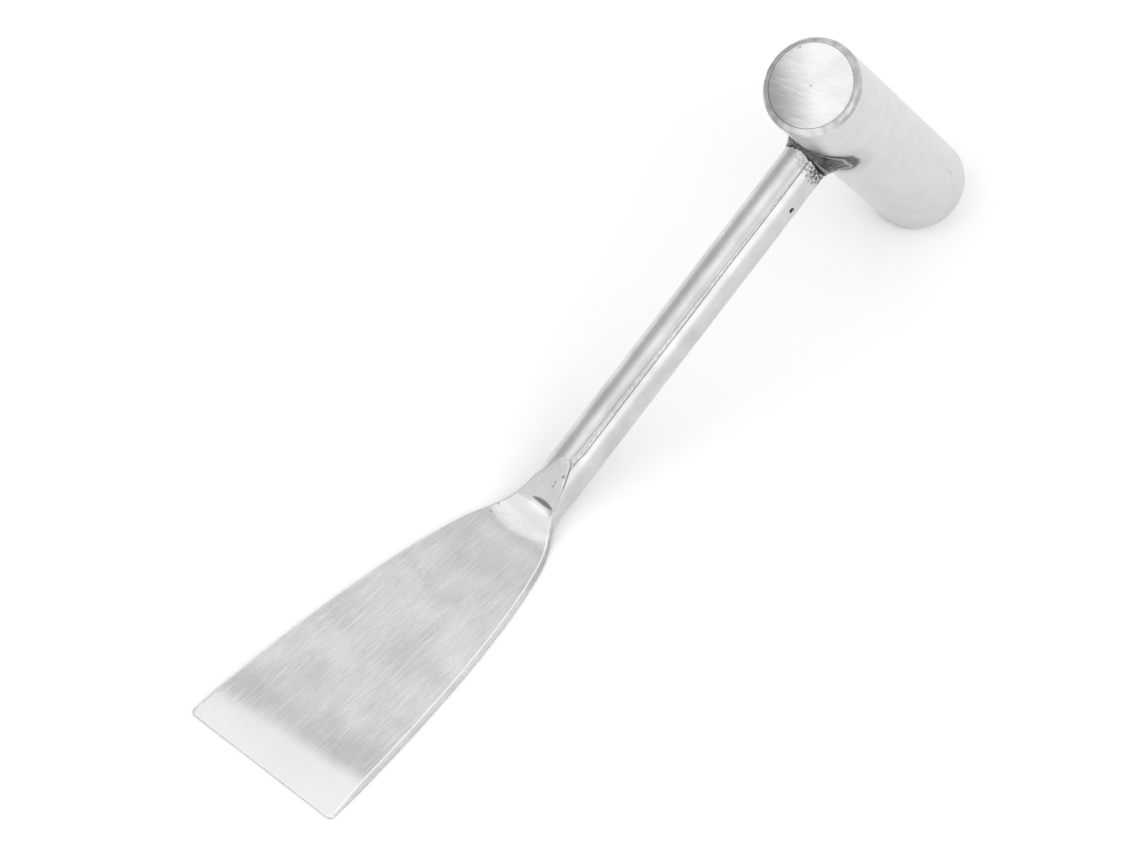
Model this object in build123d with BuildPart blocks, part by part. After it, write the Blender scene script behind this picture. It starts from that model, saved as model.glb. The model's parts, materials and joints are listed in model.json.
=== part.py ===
"""All-steel mallet with a scraper blade: welded head, tube handle, bent blade.

Frame: the tool as it lies at rest. The flat back of the blade and the rim of the
head's rear end stand on z = 0, +X runs from the blade's working edge to the head
along the blade's centre line, +Y across the blade. The origin is the bottom centre
of the bounding box.
"""
from build123d import *
import os
from math import acos, cos, degrees, radians, sin, sqrt, tan

# ---------------------------------------------------------------- driving sizes (mm, degrees)
HEAD_DIAMETER = 38.0
HEAD_WALL = 2.0
HEAD_FRONT = 38.0        # handle axis to the front striking face
HEAD_REAR = 101.0        # handle axis to the rear striking face
RIM_RADIUS = 2.5         # round of the ground weld at both ends of the head
DISC_THICKNESS = 3.0
WELD_ROOT = 3.0          # depth of the rim weld between disc and tube

HANDLE_DIAMETER = 18.0
HANDLE_WALL = 1.5
HANDLE_RISE = 30.0       # handle axis above the blade's plane
HANDLE_YAW = 2.6         # hand-set angle between the handle and the blade's centre line
VENT_DIAMETER = 2.0
VENT_STATION = 40.0      # from the head axis, along the handle
VENT_TURN = 77.0         # round the handle, from the side the front face points to

SHEET = 2.5              # blade sheet
SIDE_BEVEL = 1.3         # ground along both long edges of the blade
TANG_STATION = 164.0     # where the tang's tip comes flush with the handle
TANG_SLOPE = 9.0         # tang against the handle axis
BEND_RADIUS = 7.0        # hollow side of the bend between tang and blade
BLADE_REACH = 140.0      # bend line to the working edge
BLADE_HALF = 34.9        # half width at the working edge
EDGE_THICKNESS = 1.0
EDGE_GRIND = 16.0        # length of the taper ground towards the working edge
CORNER_RADIUS = 2.0
TANG_LEAVE = 10.0        # length of tang that keeps the ellipse, seen from above
BLADE_END_SLOPE = (-1, 0.04)
NECK = (-2.6, 12.6)      # points of the side line: distance past the bend, half width
SHOULDER = (8.0, 18.2)
SIDES = ((50.0, 27.5), (95.0, 32.5))
SHOULDER_SLOPE = (-1, 0.37)

FLATTEN_START = 174.0    # the handle is round up to here
# Flattened sections of the handle: station, centre towards the back, half across, half deep.
FLATTENED = ((182.0, -1.5, 10.0, 7.0), (189.0, -2.6, 12.0, 4.0))
HEEL_TIP = (192.5, -1.9, 11.0, 1.0)
POCKET_ROOM = 30.0       # how far the handle is cleared above the sheet

WELD_TOE = 22.8          # weld toe on the handle, from the head axis
WELD_FOOT_ANGLE = 55.0   # how far the weld's flanks reach round the head
WELD_FOOT_HALF = 10.6    # weld foot along the head, either way
WELD_TOE_LIP = 0.3

# ---------------------------------------------------------------- sizes that follow
R_HEAD = HEAD_DIAMETER / 2
R_BORE = R_HEAD - HEAD_WALL
R_DISC = R_HEAD - RIM_RADIUS
R_HANDLE = HANDLE_DIAMETER / 2
R_HANDLE_BORE = R_HANDLE - HANDLE_WALL
rise, yaw, slope = radians(HANDLE_RISE), radians(HANDLE_YAW), radians(TANG_SLOPE)

# Height of the crossing of handle axis and head axis with the rear rim on the table.
z_cross = R_DISC * sin(rise) + (HEAD_REAR - RIM_RADIUS) * cos(rise) + RIM_RADIUS

# The tang's upper plane meets the blade's upper plane here (h along the handle axis
# from the head axis, a along the head axis towards its rear).
rise_drop = (z_cross - SHEET) / cos(rise)
bend_h = (rise_drop + R_HANDLE + TANG_STATION * tan(slope)) / (tan(slope) + tan(rise))
bend_a = (bend_h - TANG_STATION) * tan(slope) - R_HANDLE
bend_run = bend_h * cos(rise) - bend_a * sin(rise)

# Level direction from head to blade, level direction across, handle and head axes.
heading = Vector(-cos(yaw), sin(yaw), 0)
across = Vector(sin(yaw), cos(yaw), 0)
along_handle = heading * cos(rise) - Vector(0, 0, sin(rise))
along_head = heading * -sin(rise) - Vector(0, 0, cos(rise))

# Reach of the head beyond the crossing in +X: rear disc edge plus the rim round.
axis_x = along_head.X
radial_x = sqrt(1 - axis_x**2)
head_reach = (HEAD_REAR - RIM_RADIUS) * axis_x + R_DISC * radial_x + RIM_RADIUS
overall = BLADE_REACH + bend_run * cos(yaw) + head_reach
x_edge = -overall / 2
x_bend = x_edge + BLADE_REACH
cross = Vector(x_bend + bend_run * cos(yaw), -bend_run * sin(yaw), z_cross)


def head_plane(a: float) -> Plane:
    """Plane across the head at a, facing the rear."""
    return Plane(origin=cross + along_head * a, x_dir=across, z_dir=along_head)


def handle_plane(h: float) -> Plane:
    """Plane across the handle at h, facing the blade. Local y is a."""
    return Plane(origin=cross + along_handle * h, x_dir=across, z_dir=along_handle)


vent_turn = radians(VENT_TURN)
vent_out = along_head * -cos(vent_turn) - across * sin(vent_turn)
vent_plane = Plane(origin=cross + along_handle * VENT_STATION, x_dir=along_handle, z_dir=vent_out)

# Middle plane of head and handle, with local x = h and local y = a.
side_plane = Plane(origin=cross, x_dir=along_handle, z_dir=across * -1)
head_axis = Axis(cross, along_head)


def sheet_profile(top: float, bottom: float) -> list:
    """Corners of the tang and blade in the side plane, between two offsets from the
    sheet's upper surface (positive towards the back), open ended past both tips."""
    def corner(offset: float) -> tuple:
        back_a = offset / cos(slope)
        back_rise = rise_drop + offset / cos(rise)
        h = (back_rise + R_HANDLE - back_a + TANG_STATION * tan(slope)) / (tan(slope) + tan(rise))
        return h, (h - TANG_STATION) * tan(slope) - R_HANDLE + back_a

    def ends(offset: float) -> tuple:
        h_tang = TANG_STATION - 2 * R_HANDLE
        a_tang = (h_tang - TANG_STATION) * tan(slope) - R_HANDLE + offset / cos(slope)
        h_tip = bend_h + BLADE_REACH
        a_tip = rise_drop + offset / cos(rise) - h_tip * tan(rise)
        return (h_tang, a_tang), (h_tip, a_tip)

    tang_top, tip_top = ends(top)
    tang_back, tip_back = ends(bottom)
    return [tang_top, corner(top), tip_top, tip_back, corner(bottom), tang_back]


# Outline of tang and blade seen from above. The tang is the ellipse in which its plane
# cuts the handle, turned with the handle about the bend; past the handle it flares into
# the blade's curved sides.
def turned(x: float, y: float) -> tuple:
    """Level point or direction of the handle's own frame, turned by the yaw."""
    return x * cos(yaw) + y * sin(yaw), y * cos(yaw) - x * sin(yaw)


tang_tip = bend_run - (TANG_STATION * cos(rise) + R_HANDLE * sin(rise))
ellipse_run = R_HANDLE / sin(slope) * cos(rise + slope)
ellipse_x, ellipse_y = turned(tang_tip - ellipse_run, 0)
leave_angle = degrees(acos(1 - TANG_LEAVE / ellipse_run))
neck, shoulder, *sides = [(x_bend - past, half) for past, half in (NECK, SHOULDER, *SIDES)]

with BuildSketch(Plane.XY.offset(-1)) as sheet_outline:
    with BuildLine():
        tang_line = EllipticalCenterArc(
            (x_bend + ellipse_x, ellipse_y), ellipse_run, R_HANDLE,
            start_angle=-leave_angle, arc_size=2 * leave_angle, rotation=-HANDLE_YAW,
        )
        leaving = ((-1, tang_line @ 0, tang_line % 0 * -1), (1, tang_line @ 1, tang_line % 1))
        for side, leave, away in leaving:
            line_shoulder = (shoulder[0], side * shoulder[1])
            tangent_shoulder = (SHOULDER_SLOPE[0], side * SHOULDER_SLOPE[1])
            Spline(leave, (neck[0], side * neck[1]), line_shoulder, tangents=(away, tangent_shoulder))
            Spline(
                line_shoulder, *[(x, side * half) for x, half in sides], (x_edge, side * BLADE_HALF),
                tangents=(tangent_shoulder, (BLADE_END_SLOPE[0], side * BLADE_END_SLOPE[1])),
            )
        Line((x_edge, BLADE_HALF), (x_edge, -BLADE_HALF))
    make_face()


os.makedirs("parts", exist_ok=True)

# ---------------------------------------------------------------- head
with BuildPart() as head_tube:
    with BuildSketch(head_plane(RIM_RADIUS - HEAD_FRONT)):
        Circle(R_HEAD)
        Circle(R_BORE, mode=Mode.SUBTRACT)
    extrude(amount=HEAD_FRONT + HEAD_REAR - 2 * RIM_RADIUS)
head_tube.part.label = "head_tube"
export_step(head_tube.part, "parts/head_tube.step")

# Both ends of the head: a disc set flush in the bore and the weld that closes the gap,
# ground round on the outside. inward is the sign towards the middle of the head.
for end, face, inward in (("front", -HEAD_FRONT, 1), ("rear", HEAD_REAR, -1)):
    with BuildPart() as disc:
        with BuildSketch(head_plane(face)):
            Circle(R_DISC)
        extrude(amount=inward * DISC_THICKNESS)
    disc.part.label = f"{end}_disc"
    export_step(disc.part, f"parts/{end}_disc.step")

    round_start = face + inward * RIM_RADIUS
    root = face + inward * WELD_ROOT
    with BuildPart() as rim_weld:
        with BuildSketch(side_plane):
            with BuildLine():
                Polyline(
                    (R_HEAD, round_start), (R_BORE, round_start),
                    (R_BORE, root), (R_DISC, root), (R_DISC, face),
                )
                RadiusArc((R_DISC, face), (R_HEAD, round_start), -inward * RIM_RADIUS)
            make_face()
        revolve(axis=head_axis, revolution_arc=360)
    rim_weld.part.label = f"{end}_rim_weld"
    export_step(rim_weld.part, f"parts/{end}_rim_weld.step")

# ---------------------------------------------------------------- blade
with BuildPart() as blade:
    with BuildSketch(side_plane):
        with BuildLine():
            Polyline(*sheet_profile(0, SHEET), close=True)
        make_face()
    extrude(amount=2 * BLADE_HALF, both=True)
    level_edges = blade.edges().filter_by(Axis(cross, across))
    bend_edges = level_edges.sort_by(lambda e: abs(e.center().X - x_bend))[:2]
    hollow_edge = bend_edges.sort_by(Axis.Z)[-1:]
    round_edge = bend_edges.sort_by(Axis.Z)[:1]
    fillet(hollow_edge, BEND_RADIUS)
    fillet(round_edge, BEND_RADIUS + SHEET)
    extrude(sheet_outline.sketch, amount=z_cross, mode=Mode.INTERSECT)
    flat_top = blade.faces().filter_by(Axis.Z).sort_by(Axis.Z)[-1]
    chamfer(flat_top.edges().filter_by(GeomType.BSPLINE), SIDE_BEVEL)
    with BuildSketch(handle_plane(TANG_STATION - R_HANDLE)):
        Circle(2 * BLADE_HALF)
        Circle(R_HANDLE, mode=Mode.SUBTRACT)
    extrude(amount=1.5 * R_HANDLE, mode=Mode.SUBTRACT)
    with BuildSketch(Plane.XZ):
        with BuildLine():
            Polyline(
                (x_edge, EDGE_THICKNESS), (x_edge + EDGE_GRIND, SHEET),
                (x_edge + EDGE_GRIND, 2 * SHEET), (x_edge, 2 * SHEET), close=True,
            )
        make_face()
    extrude(amount=2 * BLADE_HALF, both=True, mode=Mode.SUBTRACT)
    corners = blade.edges().filter_by(Axis.Z).group_by(Axis.X)[0]
    fillet(corners, CORNER_RADIUS)
blade.part.label = "blade"
export_step(blade.part, "parts/blade.step")

# Everything above the back of the sheet within its outline: the handle is cut away here.
with BuildPart() as sheet_pocket:
    with BuildSketch(side_plane):
        with BuildLine():
            Polyline(*sheet_profile(-POCKET_ROOM, SHEET), close=True)
        make_face()
    extrude(amount=2 * BLADE_HALF, both=True)
    extrude(sheet_outline.sketch, amount=2 * z_cross, mode=Mode.INTERSECT)

# ---------------------------------------------------------------- handle
with BuildPart() as handle_tube:
    with BuildSketch(handle_plane(0)):
        Circle(R_HANDLE)
    extrude(amount=FLATTEN_START)
    with BuildSketch(handle_plane(FLATTEN_START)):
        Circle(R_HANDLE)
    for station, centre, half_across, half_deep in FLATTENED:
        with BuildSketch(handle_plane(station)):
            with Locations((0, centre)):
                Ellipse(half_across, half_deep)
    loft()
    with BuildSketch(handle_plane(0)):
        Circle(R_HANDLE_BORE)
    extrude(amount=FLATTEN_START, mode=Mode.SUBTRACT)
    with BuildSketch(handle_plane(FLATTEN_START)):
        Circle(R_HANDLE_BORE)
    for station, centre, half_across, half_deep in FLATTENED:
        with BuildSketch(handle_plane(station)):
            with Locations((0, centre)):
                Ellipse(half_across - HANDLE_WALL, half_deep - HANDLE_WALL)
    loft(mode=Mode.SUBTRACT)
    with BuildSketch(head_plane(-HEAD_FRONT)):
        Circle(R_HEAD)
    extrude(amount=HEAD_FRONT + HEAD_REAR, mode=Mode.SUBTRACT)
    add(sheet_pocket.part, mode=Mode.SUBTRACT)
    with BuildSketch(vent_plane):
        Circle(VENT_DIAMETER / 2)
    extrude(amount=R_HANDLE + HANDLE_WALL, mode=Mode.SUBTRACT)
handle_tube.part.label = "handle_tube"
export_step(handle_tube.part, "parts/handle_tube.step")

# Fillet weld round the foot of the handle, with flanks that reach down the head's sides.
foot_h = R_HEAD * cos(radians(WELD_FOOT_ANGLE))
foot_across = R_HEAD * sin(radians(WELD_FOOT_ANGLE))
with BuildPart() as handle_weld:
    with BuildSketch(handle_plane(WELD_TOE)):
        Circle(R_HANDLE + WELD_TOE_LIP)
    with BuildSketch(handle_plane(foot_h)):
        Ellipse(foot_across, WELD_FOOT_HALF)
    loft()
    with BuildSketch(head_plane(-HEAD_FRONT)):
        Circle(R_HEAD)
    extrude(amount=HEAD_FRONT + HEAD_REAR, mode=Mode.SUBTRACT)
    with BuildSketch(handle_plane(0)):
        Circle(R_HANDLE)
    extrude(amount=2 * WELD_TOE, mode=Mode.SUBTRACT)
handle_weld.part.label = "handle_weld"
export_step(handle_weld.part, "parts/handle_weld.step")

# Weld that closes the flattened end of the handle under the sheet.
heel_start = FLATTENED[-1]
with BuildPart() as heel_weld:
    for station, centre, half_across, half_deep in (heel_start, HEEL_TIP):
        with BuildSketch(handle_plane(station)):
            with Locations((0, centre)):
                Ellipse(half_across, half_deep)
    loft()
    add(sheet_pocket.part, mode=Mode.SUBTRACT)
heel_weld.part.label = "heel_weld"
export_step(heel_weld.part, "parts/heel_weld.step")
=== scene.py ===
"""Visual model of the all-steel mallet scraper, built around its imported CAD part."""

import json
import logging
from dataclasses import dataclass
from enum import Enum
from math import asin, atan2, cos, hypot, pi, radians, sin, sqrt, tan

import bpy
import numpy as np
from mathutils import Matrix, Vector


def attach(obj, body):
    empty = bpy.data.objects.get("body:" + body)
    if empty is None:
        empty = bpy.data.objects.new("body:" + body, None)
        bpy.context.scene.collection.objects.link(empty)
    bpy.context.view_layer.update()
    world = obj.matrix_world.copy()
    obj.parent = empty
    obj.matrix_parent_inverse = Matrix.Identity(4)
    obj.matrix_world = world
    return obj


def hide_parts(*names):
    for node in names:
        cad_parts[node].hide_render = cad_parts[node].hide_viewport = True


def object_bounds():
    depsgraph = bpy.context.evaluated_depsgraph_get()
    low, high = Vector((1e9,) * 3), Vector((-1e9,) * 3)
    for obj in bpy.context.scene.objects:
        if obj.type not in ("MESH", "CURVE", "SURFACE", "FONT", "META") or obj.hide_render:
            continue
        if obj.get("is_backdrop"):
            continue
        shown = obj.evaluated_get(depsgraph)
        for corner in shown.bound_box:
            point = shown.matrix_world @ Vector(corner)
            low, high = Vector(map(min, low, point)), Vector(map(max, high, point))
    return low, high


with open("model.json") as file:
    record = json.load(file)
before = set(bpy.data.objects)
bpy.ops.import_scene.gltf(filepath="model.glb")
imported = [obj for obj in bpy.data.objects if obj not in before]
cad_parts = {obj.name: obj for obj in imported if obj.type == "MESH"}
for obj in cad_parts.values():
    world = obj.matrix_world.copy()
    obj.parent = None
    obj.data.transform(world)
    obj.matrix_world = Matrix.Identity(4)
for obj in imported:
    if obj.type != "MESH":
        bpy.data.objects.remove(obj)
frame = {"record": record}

MM = 0.001
LOG = logging.getLogger("mallet_scraper")
Array = np.ndarray
Piece = bpy.types.Object
Material = bpy.types.Material
Triple = tuple[float, float, float]
Row = tuple[float, ...]


# ---------- helpers
def linear(hex_colour: str) -> tuple[float, float, float, float]:
    """Turn an sRGB hex colour into the linear values that a shader takes.

    Args:
        hex_colour: six hex digits, with or without a leading #.

    Returns:
        Red, green, blue and an alpha of 1, each from 0 to 1. Formula: c / 12.92 up to
        0.04045, and ((c + 0.055) / 1.055) to the power 2.4 above.
    """
    digits = hex_colour.lstrip("#")
    channels = [int(digits[i : i + 2], 16) / 255 for i in (0, 2, 4)]
    r, g, b = (c / 12.92 if c <= 0.04045 else ((c + 0.055) / 1.055) ** 2.4 for c in channels)
    return r, g, b, 1.0


def add_node(
    tree: bpy.types.NodeTree, kind: str, inputs: dict | None = None, **settings: object
) -> bpy.types.Node:
    """Add one node, set its properties, and set or link its inputs.

    Args:
        tree: the node tree to add to.
        kind: the node's bl_idname without its leading "ShaderNode".
        inputs: input name or index to a value, or to an output socket to link from.
        settings: properties of the node itself.

    Returns:
        The new node.
    """
    node = tree.nodes.new("ShaderNode" + kind)
    for key, value in settings.items():
        setattr(node, key, value)
    for key, value in (inputs or {}).items():
        if isinstance(value, bpy.types.NodeSocket):
            tree.links.new(value, node.inputs[key])
        else:
            node.inputs[key].default_value = value
    return node


def empty_tree(owner: Material | bpy.types.World) -> bpy.types.NodeTree:
    """Turn on the node tree of a material or world and take out what it starts with."""
    owner.use_nodes = True
    owner.node_tree.nodes.clear()
    return owner.node_tree


def add_object(name: str, data: bpy.types.ID) -> Piece:
    """Make an object of a mesh, lamp or camera and link it to the scene."""
    thing = bpy.data.objects.new(name, data)
    bpy.context.scene.collection.objects.link(thing)
    return thing


def climb(x: Array, low: float, high: float) -> Array:
    """Smoothstep: rise from 0 at low to 1 at high along 3t^2 - 2t^3."""
    t = np.clip((x - low) / (high - low), 0.0, 1.0)
    return t * t * (3 - 2 * t)


def fall(x: Array, low: float, high: float) -> Array:
    """Fall from 1 at low to 0 at high along the same curve."""
    return 1 - climb(x, low, high)


def bell(x: Array, width: float | Array) -> Array:
    """Hump of 1 at 0 that dies away over the width: exp(-(x / width)^2)."""
    return np.exp(-((x / width) ** 2))


def hermite(x: Array, knots: Array, values: Array) -> Array:
    """Smooth curve through given points: cubic Hermite pieces whose slope at each knot is
    the mean of its two neighbours' slopes, weighted by the distance to the other one.

    Args:
        x: where to read the curve.
        knots: rising abscissas of the points.
        values: their ordinates.

    Returns:
        The curve's values at x.
    """
    steps = np.diff(knots)
    chords = np.diff(values) / steps
    inner = (chords[:-1] * steps[1:] + chords[1:] * steps[:-1]) / (steps[:-1] + steps[1:])
    slopes = np.concatenate([[chords[0]], inner, [chords[-1]]])
    k = np.clip(np.searchsorted(knots, x) - 1, 0, len(steps) - 1)
    t = (x - knots[k]) / steps[k]
    a, b = values[k], values[k + 1]
    ma, mb = slopes[k] * steps[k], slopes[k + 1] * steps[k]
    rest = 1 - t
    return rest**2 * (a * (1 + 2 * t) + ma * t) + t**2 * (b * (3 - 2 * t) - mb * rest)


def waves(u: Array, v: Array, seed: int, count: int, longest: float, shortest: float) -> Array:
    """Soft random relief: a sum of sine waves of random direction, phase and length.

    Args:
        u: first surface coordinate, in millimetres.
        v: second surface coordinate, in millimetres.
        seed: fixes the random draw.
        count: number of waves.
        longest: longest wave in millimetres.
        shortest: shortest wave in millimetres.

    Returns:
        Values of about -1 to 1.
    """
    rng = np.random.default_rng(seed)
    total = np.zeros(np.broadcast(u, v).shape)
    for _ in range(count):
        length = longest * (shortest / longest) ** rng.random()
        angle, phase = rng.random(2) * 2 * pi
        way = u * cos(angle) + v * sin(angle)
        total = total + np.sin(2 * pi * way / length + phase)
    return total / sqrt(count)


def round_waves(turn: Array, seed: int, orders: tuple[int, ...]) -> Array:
    """Random relief that closes round a circle: sines of whole orders with random phases."""
    phases = np.random.default_rng(seed).random(len(orders)) * 2 * pi
    return sum(np.sin(n * turn + p) for n, p in zip(orders, phases)) / sqrt(len(orders))


class Ends(Enum):
    """How the first and last rows of a grid are closed."""

    CAPPED = "capped"
    WRAPPED = "wrapped"


def surface(
    name: str, grid: Array, ends: Ends, uv: Array | None = None, sharp: float = 40.0
) -> Piece:
    """Make a closed mesh of a grid of points whose columns wrap round.

    Quads join neighbouring rows and columns. Capped ends get a fan to the end row's
    mean point. The faces are turned over if the enclosed volume comes out negative.

    Args:
        name: the piece's name.
        grid: rows by columns by 3, in metres.
        ends: how the rows end.
        uv: rows + 1 by columns + 1 by 2 values for wrapped rows, rows by columns + 1 otherwise.
        sharp: angle in degrees above which an edge is shaded as an edge.

    Returns:
        The new object, linked to the scene.
    """
    rows, columns, _ = grid.shape
    count = rows if ends is Ends.WRAPPED else rows - 1
    i, j = np.meshgrid(np.arange(count), np.arange(columns), indexing="ij")
    corners = ((i, j), (i + 1, j), (i + 1, j + 1), (i, j + 1))
    quads = np.stack([(a % rows) * columns + b % columns for a, b in corners], -1).reshape(-1, 4)
    points = grid.reshape(-1, 3)
    loops_uv = None if uv is None else np.stack([uv[a, b] for a, b in corners], 2).reshape(-1, 2)
    faces = [quads]
    if ends is Ends.CAPPED:
        j = np.arange(columns)
        after = (j + 1) % columns
        last = (rows - 1) * columns
        points = np.vstack([points, grid[0].mean(0), grid[-1].mean(0)])
        first_fan = np.stack([j, after, np.full(columns, rows * columns)], -1)
        last_fan = np.stack([last + after, last + j, np.full(columns, rows * columns + 1)], -1)
        faces += [first_fan, last_fan]
    triangles = np.vstack([quads[:, [0, 1, 2]], quads[:, [0, 2, 3]], *faces[1:]])
    a, b, c = (points[triangles[:, k]] for k in range(3))
    if np.einsum("ij,ij->i", a, np.cross(b, c)).sum() < 0:
        faces = [f[:, ::-1] for f in faces]
        if loops_uv is not None:
            loops_uv = loops_uv.reshape(-1, 4, 2)[:, ::-1].reshape(-1, 2)
    mesh = bpy.data.meshes.new(name)
    mesh.from_pydata(points.tolist(), [], [f for block in faces for f in block.tolist()])
    if uv is not None:
        layer = mesh.uv_layers.new(name="length_and_girth")
        values = np.zeros((len(mesh.loops), 2), np.float32)
        values[: len(loops_uv)] = loops_uv
        layer.data.foreach_set("uv", values.ravel())
    mesh.shade_smooth()
    mesh.set_sharp_from_angle(angle=radians(sharp))
    mesh.validate()
    return add_object(name, mesh)


def settle(piece: Piece, material: Material, slot: str, *nodes: str) -> None:
    """Dress a finished piece, put it on the one body and let it stand for its CAD nodes.

    Args:
        piece: the finished piece.
        material: its material.
        slot: the look slot meant for it; not used.
        nodes: the CAD nodes that it stands for.
    """
    piece.data.materials.append(material)
    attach(piece, "root")
    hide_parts(*nodes)
    LOG.info("%s: %d faces, for %s", piece.name, len(piece.data.polygons), ", ".join(nodes))


# ---------- the tool's axes
@dataclass(frozen=True)
class ToolAxes:
    """Where head and handle lie in the row frame, in millimetres, from the record's mounts."""

    front: Array
    rear: Array
    head: Array
    across: Array
    handle: Array
    cross: Array
    front_reach: float = 38.0

    @classmethod
    def from_record(cls, record: dict) -> "ToolAxes":
        """Read both end faces of the head. The handle leaves at a right angle, level across.

        Args:
            record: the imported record, for its mounts.

        Returns:
            The axes.
        """
        mounts = {m["name"]: m for m in record["mounts"]}
        front = np.array(mounts["front_face"]["pos_m"]) / MM
        rear = np.array(mounts["rear_face"]["pos_m"]) / MM
        head = (rear - front) / np.linalg.norm(rear - front)
        across = np.cross([0.0, 0.0, 1.0], head)
        across /= np.linalg.norm(across)
        handle = np.cross(across, head)
        return cls(front, rear, head, across, handle, front + cls.front_reach * head)

    @property
    def rear_reach(self) -> float:
        """Distance from the handle axis to the rear face, in millimetres."""
        return float(np.dot(self.rear - self.cross, self.head))

    def end(self, name: str) -> tuple[float, int]:
        """Station of the "front" or "rear" face along the head, and the sign that leads in."""
        return (-self.front_reach, 1) if name == "front" else (self.rear_reach, -1)

    def place(self, h: Array, b: Array, a: Array) -> Array:
        """Point at h along the handle, b across and a along the head, in metres."""
        h, b, a = np.broadcast_arrays(h, b, a)
        local = np.stack([h, b, a], -1) @ np.stack([self.handle, self.across, self.head])
        return (self.cross + local) * MM


def ring(count: int) -> Array:
    """Angles of one full turn in equal steps, without the last one."""
    return np.arange(count) * 2 * pi / count


def girth_uv(along: Array, girth: Array) -> Array:
    """Map of a wrapped surface: metres along by metres round, one extra column at the seam.

    Args:
        along: station of each row in millimetres.
        girth: arc length of each grid point in millimetres.

    Returns:
        Rows by columns + 1 by 2 values.
    """
    stretch = 1 + 1 / (girth.shape[1] - 1)
    last = girth[:, :1] + (girth[:, -1:] - girth[:, :1]) * stretch
    closed = np.concatenate([girth, last], 1)
    return np.stack([np.broadcast_to(along[:, None], closed.shape), closed], -1) * MM


# ---------- finishes
class Ground(Enum):
    """Which coordinates a finish is laid out in."""

    OBJECT = "Object"
    UV = "UV"


@dataclass(frozen=True)
class Steel:
    """AISI 304 stainless steel: bare metal, two tones apart by cloudiness, and a lay.

    The lay is the direction of the polishing lines. Lines are drawn lay_pitch apart, which
    is coarser than the real 0.05 mm so that they show, and lay_run long.
    """

    name: str
    dark: str
    pale: str
    roughness: float
    roughness_spread: float
    cloud: float
    lay_pitch: float
    lay_run: float
    lay_depth: float
    lay_contrast: float
    ground: Ground = Ground.OBJECT
    lay_turn: Triple = (0.0, 0.0, 0.0)
    scratches: float = 0.0
    grain: float = 0.0

    def build(self, *tones_over: tuple[str, str, float]) -> Material:
        """Make the material: clouds and lay lines in colour and roughness, and fine bump.

        Args:
            tones_over: attribute, colour and roughness of each tone laid over it, in order: real
                marks, and painted highlights and painted shade.

        Returns:
            The material.
        """
        material = bpy.data.materials.new(self.name)
        tree = empty_tree(material)
        where = add_node(tree, "TexCoord").outputs[self.ground.value]
        turned = add_node(tree, "Mapping", {"Vector": where, "Rotation": self.lay_turn}).outputs[0]
        stretch = (1 / (self.lay_run * MM), 1 / (self.lay_pitch * MM), 1 / (self.lay_pitch * MM))
        lay_space = add_node(tree, "Mapping", {"Vector": turned, "Scale": stretch}).outputs[0]
        lay = add_node(
            tree, "TexNoise", {"Vector": lay_space, "Scale": 1.0, "Detail": 4.0, "Roughness": 0.65}
        ).outputs[0]
        cloud = add_node(
            tree, "TexNoise",
            {"Vector": where, "Scale": 1 / (self.cloud * MM), "Detail": 2.5, "Distortion": 0.3},
        ).outputs[0]
        clouds = add_node(
            tree, "MapRange", {"Value": cloud, "From Min": 0.3, "From Max": 0.7},
            interpolation_type="SMOOTHSTEP",
        ).outputs[0]
        lines = add_node(
            tree, "MapRange", {"Value": lay, "From Min": 0.25, "From Max": 0.75}
        ).outputs[0]
        tone = add_node(
            tree, "Mix", {0: self.lay_contrast, "A": clouds, "B": lines}, data_type="FLOAT"
        ).outputs[0]
        colour = add_node(
            tree, "Mix", {0: tone, 6: linear(self.dark), 7: linear(self.pale)}, data_type="RGBA"
        ).outputs[2]
        dull, shiny = (self.roughness + sign * self.roughness_spread for sign in (1, -1))
        rough = add_node(
            tree, "MapRange", {"Value": tone, "To Min": dull, "To Max": shiny}
        ).outputs[0]
        height, layers = lines, []
        if self.scratches:
            # Stray handling scratches: the brightest threads of two long, fine noises.
            for turn, run, gap in ((0.0, 30.0, 0.24), (0.07, 18.0, 0.3)):
                space = add_node(
                    tree, "Mapping",
                    {
                        "Vector": turned, "Rotation": (0.0, 0.0, turn),
                        "Location": (run * MM, 0.0, 0.0),
                        "Scale": (1 / (run * MM), 1 / (gap * MM), 1 / (gap * MM)),
                    },
                ).outputs[0]
                threads = add_node(
                    tree, "TexNoise", {"Vector": space, "Scale": 1.0, "Detail": 1.0}
                ).outputs[0]
                hair = {"Value": threads, "From Min": 0.62, "From Max": 0.70}
                layers.append((hair, self.scratches, "#fafafa"))
        if self.grain:
            speck = add_node(
                tree, "TexNoise",
                {"Vector": where, "Scale": 1 / (self.grain * MM), "Detail": 3.0, "Roughness": 0.7},
            ).outputs[0]
            dust = {"Value": speck, "From Min": 0.5, "From Max": 0.78}
            layers.append((dust, 0.4, "#8c8c8c"))
            height = add_node(tree, "Math", {0: lines, 1: speck}, operation="ADD").outputs[0]
        for spread, most, tint in layers:
            amount = add_node(tree, "MapRange", {**spread, "To Max": most}).outputs[0]
            colour = add_node(
                tree, "Mix", {0: amount, 6: colour, 7: linear(tint)}, data_type="RGBA"
            ).outputs[2]
        bump = add_node(
            tree, "Bump", {"Height": height, "Strength": 1.0, "Distance": self.lay_depth * MM}
        ).outputs[0]
        shader = add_node(
            tree, "BsdfPrincipled",
            {"Base Color": colour, "Roughness": rough, "Normal": bump, "Metallic": 1.0},
        )
        add_node(tree, "OutputMaterial", {"Surface": shader.outputs[0]})
        for spot in tones_over:
            tone_over(material, *spot)
        return material


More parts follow.
